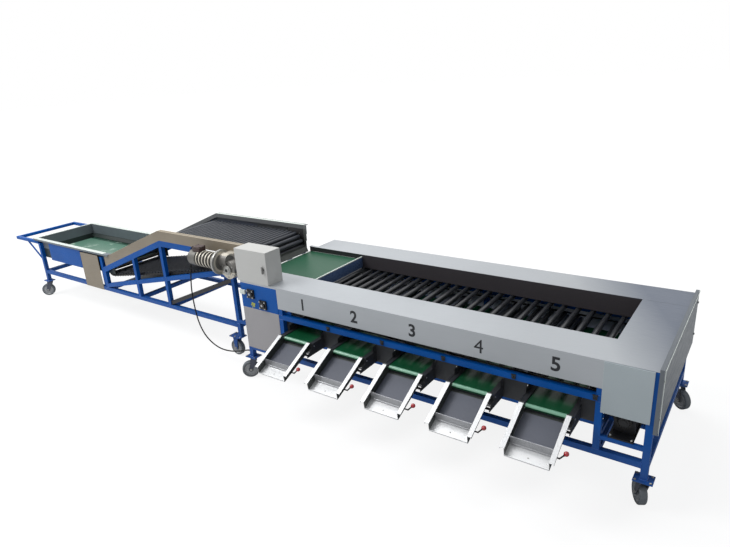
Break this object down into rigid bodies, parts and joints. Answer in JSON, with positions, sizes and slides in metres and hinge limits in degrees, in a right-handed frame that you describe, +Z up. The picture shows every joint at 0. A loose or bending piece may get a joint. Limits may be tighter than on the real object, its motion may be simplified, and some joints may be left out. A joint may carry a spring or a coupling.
{
  "type": "fruit grading machine",
  "caption": "Roller fruit grader with outlet chutes and gates, fed by a bin and an inclined roller elevator, on caster wheels.",
  "frame": {"origin": "middle of the machine's box at floor level", "axes": "+X along the machine from the bin to the end plate, +Y from the outlets to the back, +Z up"},
  "size_m": [7.6368, 1.776, 1.178],
  "materials": {
    "blue_paint": "semi-gloss, light scuffs on the edges",
    "stainless": "brushed sheet",
    "grey_panel": "matt",
    "dark_paint": "matt",
    "beige_paint": "satin",
    "box_paint": "fine textured powder coat",
    "zinc": "zinc plated",
    "zinc_dark": "worn satin",
    "chain_steel": "oiled",
    "silver_cast": "cast, silver paint",
    "black_cast": "painted casting",
    "green_belt": "smooth belt",
    "dark_green_belt": "smooth belt",
    "bin_belt_rubber": "smooth belt",
    "mat_rubber": "ribbed mat",
    "roller_black": "smooth sleeve",
    "roller_slate": "smooth sleeve",
    "wheel_rubber": "worn rubber with a grey hub",
    "black_plastic": "moulded",
    "cable_rubber": "smooth sheath"
  },
  "bodies": {
    "root": {"grader_frame_front": "blue_paint", "grader_frame_back": "blue_paint", "front_cover": "stainless", "back_cover": "stainless", "side_panels": "grey_panel", "end_plate": "stainless", "well_liner": "dark_paint", "infeed_frame": "stainless", "infeed_belt": "green_belt", "flange_bearings": "black_cast", "outlet_beds": "dark_paint", "outlet_belts": "dark_green_belt", "outlet_chutes": "stainless", "chute_mats": "mat_rubber", "grading_rollers": "roller_black", "roller_chains": "chain_steel", "main_gearmotor": "black_cast", "control_box": "box_paint", "feed_frame_near": "blue_paint", "feed_frame_far": "blue_paint", "push_handle": "blue_paint", "feed_bin": "zinc", "bin_belt": "bin_belt_rubber", "elevator_guards": "beige_paint", "elevator_rollers": "roller_slate", "elevator_bed": "dark_paint", "feed_gearmotor": "silver_cast", "motor_cable": "cable_rubber", "cable_glands": "black_plastic"},
    "infeed_drive_roller": {"infeed_drive_roller": "zinc"},
    "jackshaft": {"jackshaft": "zinc"},
    "outlet_nose_rollers": {"outlet_nose_rollers": "zinc"},
    "outlet_drive_shaft": {"outlet_drive_shaft": "zinc"},
    "grader_head_shaft": {"grader_head_shaft": "zinc"},
    "grader_tail_shaft": {"grader_tail_shaft": "zinc"},
    "control_door": {"control_door": "box_paint"},
    "door_latch": {"door_latch": "black_plastic"},
    "bin_drive_roller": {"bin_drive_roller": "zinc"},
    "bin_tail_roller": {"bin_tail_roller": "zinc"},
    "elevator_head_shaft": {"elevator_head_shaft": "zinc"},
    "elevator_tail_shaft": {"elevator_tail_shaft": "zinc"},
    "gate_1": {"gate_1": "zinc"},
    "gate_2": {"gate_2": "zinc"},
    "gate_3": {"gate_3": "zinc"},
    "gate_4": {"gate_4": "zinc"},
    "gate_5": {"gate_5": "zinc"},
    "grader_caster_fork_1": {"grader_caster_fork_1": "zinc_dark"},
    "grader_caster_fork_2": {"grader_caster_fork_2": "zinc_dark"},
    "grader_caster_fork_3": {"grader_caster_fork_3": "zinc_dark"},
    "grader_caster_fork_4": {"grader_caster_fork_4": "zinc_dark"},
    "grader_caster_wheel_1": {"grader_caster_wheel_1": "wheel_rubber"},
    "grader_caster_wheel_2": {"grader_caster_wheel_2": "wheel_rubber"},
    "grader_caster_wheel_3": {"grader_caster_wheel_3": "wheel_rubber"},
    "grader_caster_wheel_4": {"grader_caster_wheel_4": "wheel_rubber"},
    "feed_caster_fork_1": {"feed_caster_fork_1": "zinc_dark"},
    "feed_caster_fork_2": {"feed_caster_fork_2": "zinc_dark"},
    "feed_caster_wheel_1": {"feed_caster_wheel_1": "wheel_rubber"},
    "feed_caster_wheel_2": {"feed_caster_wheel_2": "wheel_rubber"},
    "fixed_caster_wheel_1": {"fixed_caster_wheel_1": "wheel_rubber"},
    "fixed_caster_wheel_2": {"fixed_caster_wheel_2": "wheel_rubber"}
  },
  "joints": [
    {"name": "gate_1_pivot", "type": "hinge", "parent": "root", "child": "gate_1", "pos_m": [1.21958, -0.80204, 0.41], "axis": [1, 0, 0], "range_deg": [0, 100]},
    {"name": "gate_2_pivot", "type": "hinge", "parent": "root", "child": "gate_2", "pos_m": [1.70958, -0.80204, 0.41], "axis": [1, 0, 0], "range_deg": [0, 100]},
    {"name": "gate_3_pivot", "type": "hinge", "parent": "root", "child": "gate_3", "pos_m": [2.19958, -0.80204, 0.41], "axis": [1, 0, 0], "range_deg": [0, 100]},
    {"name": "gate_4_pivot", "type": "hinge", "parent": "root", "child": "gate_4", "pos_m": [2.68958, -0.80204, 0.41], "axis": [1, 0, 0], "range_deg": [0, 100]},
    {"name": "gate_5_pivot", "type": "hinge", "parent": "root", "child": "gate_5", "pos_m": [3.17958, -0.80204, 0.41], "axis": [1, 0, 0], "range_deg": [0, 100]},
    {"name": "control_door_hinge", "type": "hinge", "parent": "root", "child": "control_door", "pos_m": [0.52858, -0.45789, 1.039], "axis": [0, 0, -1], "range_deg": [0, 110]},
    {"name": "door_latch_turn", "type": "hinge", "parent": "control_door", "child": "door_latch", "pos_m": [0.84558, -0.47804, 1.035], "axis": [0, 1, 0], "range_deg": [0, 90]},
    {"name": "grader_head_spin", "type": "hinge", "parent": "root", "child": "grader_head_shaft", "pos_m": [3.52158, 0.18296, 0.67393], "axis": [0, 1, 0], "continuous": true},
    {"name": "grader_tail_spin", "type": "hinge", "parent": "root", "child": "grader_tail_shaft", "pos_m": [1.02158, 0.18296, 0.70406], "axis": [0, 1, 0], "continuous": true},
    {"name": "jackshaft_spin", "type": "hinge", "parent": "root", "child": "jackshaft", "pos_m": [0.80058, -0.43804, 0.724], "axis": [0, 1, 0], "continuous": true},
    {"name": "infeed_drive_spin", "type": "hinge", "parent": "root", "child": "infeed_drive_roller", "pos_m": [0.67058, 0.18296, 0.8], "axis": [0, 1, 0], "continuous": true},
    {"name": "outlet_drive_spin", "type": "hinge", "parent": "root", "child": "outlet_drive_shaft", "pos_m": [2.19958, 0.67196, 0.5127], "axis": [1, 0, 0], "continuous": true},
    {"name": "outlet_nose_spin", "type": "hinge", "parent": "root", "child": "outlet_nose_rollers", "pos_m": [2.19958, -0.56204, 0.5287], "axis": [1, 0, 0], "continuous": true},
    {"name": "elevator_head_spin", "type": "hinge", "parent": "root", "child": "elevator_head_shaft", "pos_m": [0.32158, 0.14296, 0.925], "axis": [0, 1, 0], "continuous": true},
    {"name": "elevator_tail_spin", "type": "hinge", "parent": "root", "child": "elevator_tail_shaft", "pos_m": [-1.82042, 0.14296, 0.5459], "axis": [0, 1, 0], "continuous": true},
    {"name": "bin_drive_spin", "type": "hinge", "parent": "root", "child": "bin_drive_roller", "pos_m": [-1.97842, 0.14296, 0.537], "axis": [0, 1, 0], "continuous": true},
    {"name": "bin_tail_spin", "type": "hinge", "parent": "root", "child": "bin_tail_roller", "pos_m": [-3.24842, 0.14296, 0.537], "axis": [0, 1, 0], "continuous": true},
    {"name": "grader_caster_swivel_1", "type": "hinge", "parent": "root", "child": "grader_caster_fork_1", "pos_m": [0.57658, -0.45604, 0.19], "axis": [0, 0, 1], "continuous": true},
    {"name": "grader_caster_roll_1", "type": "hinge", "parent": "grader_caster_fork_1", "child": "grader_caster_wheel_1", "pos_m": [0.55113, -0.4815, 0.075], "axis": [0.7071, -0.7071, 0], "continuous": true},
    {"name": "grader_caster_swivel_2", "type": "hinge", "parent": "root", "child": "grader_caster_fork_2", "pos_m": [3.72458, -0.45604, 0.19], "axis": [0, 0, 1], "continuous": true},
    {"name": "grader_caster_roll_2", "type": "hinge", "parent": "grader_caster_fork_2", "child": "grader_caster_wheel_2", "pos_m": [3.70658, -0.42486, 0.075], "axis": [-0.866, -0.5, 0], "continuous": true},
    {"name": "grader_caster_swivel_3", "type": "hinge", "parent": "root", "child": "grader_caster_fork_3", "pos_m": [0.57658, 0.78396, 0.19], "axis": [0, 0, 1], "continuous": true},
    {"name": "grader_caster_roll_3", "type": "hinge", "parent": "grader_caster_fork_3", "child": "grader_caster_wheel_3", "pos_m": [0.59458, 0.81514, 0.075], "axis": [-0.866, 0.5, 0], "continuous": true},
    {"name": "grader_caster_swivel_4", "type": "hinge", "parent": "root", "child": "grader_caster_fork_4", "pos_m": [3.72458, 0.78396, 0.19], "axis": [0, 0, 1], "continuous": true},
    {"name": "grader_caster_roll_4", "type": "hinge", "parent": "grader_caster_fork_4", "child": "grader_caster_wheel_4", "pos_m": [3.75134, 0.75987, 0.075], "axis": [0.6691, 0.7431, 0], "continuous": true},
    {"name": "feed_caster_swivel_1", "type": "hinge", "parent": "root", "child": "feed_caster_fork_1", "pos_m": [-3.25742, -0.23304, 0.19], "axis": [0, 0, 1], "continuous": true},
    {"name": "feed_caster_roll_1", "type": "hinge", "parent": "feed_caster_fork_1", "child": "feed_caster_wheel_1", "pos_m": [-3.28287, -0.2585, 0.075], "axis": [0.7071, -0.7071, 0], "continuous": true},
    {"name": "feed_caster_swivel_2", "type": "hinge", "parent": "root", "child": "feed_caster_fork_2", "pos_m": [-3.25742, 0.51896, 0.19], "axis": [0, 0, 1], "continuous": true},
    {"name": "feed_caster_roll_2", "type": "hinge", "parent": "feed_caster_fork_2", "child": "feed_caster_wheel_2", "pos_m": [-3.28287, 0.54441, 0.075], "axis": [-0.7071, -0.7071, 0], "continuous": true},
    {"name": "fixed_caster_roll_1", "type": "hinge", "parent": "root", "child": "fixed_caster_wheel_1", "pos_m": [0.12858, -0.23304, 0.075], "axis": [0, 1, 0], "continuous": true},
    {"name": "fixed_caster_roll_2", "type": "hinge", "parent": "root", "child": "fixed_caster_wheel_2", "pos_m": [0.12858, 0.51896, 0.075], "axis": [0, 1, 0], "continuous": true}
  ],
  "couplings": [
    {"joint": "grader_tail_spin", "follows": "grader_head_spin", "ratio": 1},
    {"joint": "jackshaft_spin", "follows": "grader_head_spin", "ratio": 1},
    {"joint": "infeed_drive_spin", "follows": "grader_head_spin", "ratio": 1},
    {"joint": "outlet_nose_spin", "follows": "outlet_drive_spin", "ratio": 2.0667},
    {"joint": "elevator_tail_spin", "follows": "elevator_head_spin", "ratio": 1.5143},
    {"joint": "bin_tail_spin", "follows": "bin_drive_spin", "ratio": 1}
  ]
}
